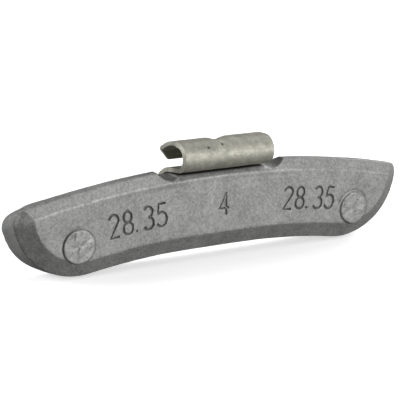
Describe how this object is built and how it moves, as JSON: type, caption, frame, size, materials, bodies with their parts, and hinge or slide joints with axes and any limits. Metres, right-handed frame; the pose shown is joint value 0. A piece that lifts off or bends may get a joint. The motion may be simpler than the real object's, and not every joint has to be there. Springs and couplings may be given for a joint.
{
  "type": "wheel balance weight",
  "caption": "Clip-on wheel balance weight: an arched die-cast body with bevelled ends and a spring-steel clip cast into its top edge.",
  "frame": {"origin": "axis of the clip's round channel, half way along the clip", "axes": "+X along the weight, +Z away from the wheel's centre, -Y out of the visible face"},
  "size_m": [0.0654, 0.0078, 0.018],
  "materials": {
    "coated_casting": "thin grey coat over die-cast zinc, matt with a fine even grain and a few rubbed spots",
    "spring_steel": "bare rolled spring strip, satin and slightly yellowish grey, with faint spots and bright cut edges"
  },
  "bodies": {
    "root": {"weight_casting": "coated_casting", "spring_clip": "spring_steel"}
  },
  "joints": []
}
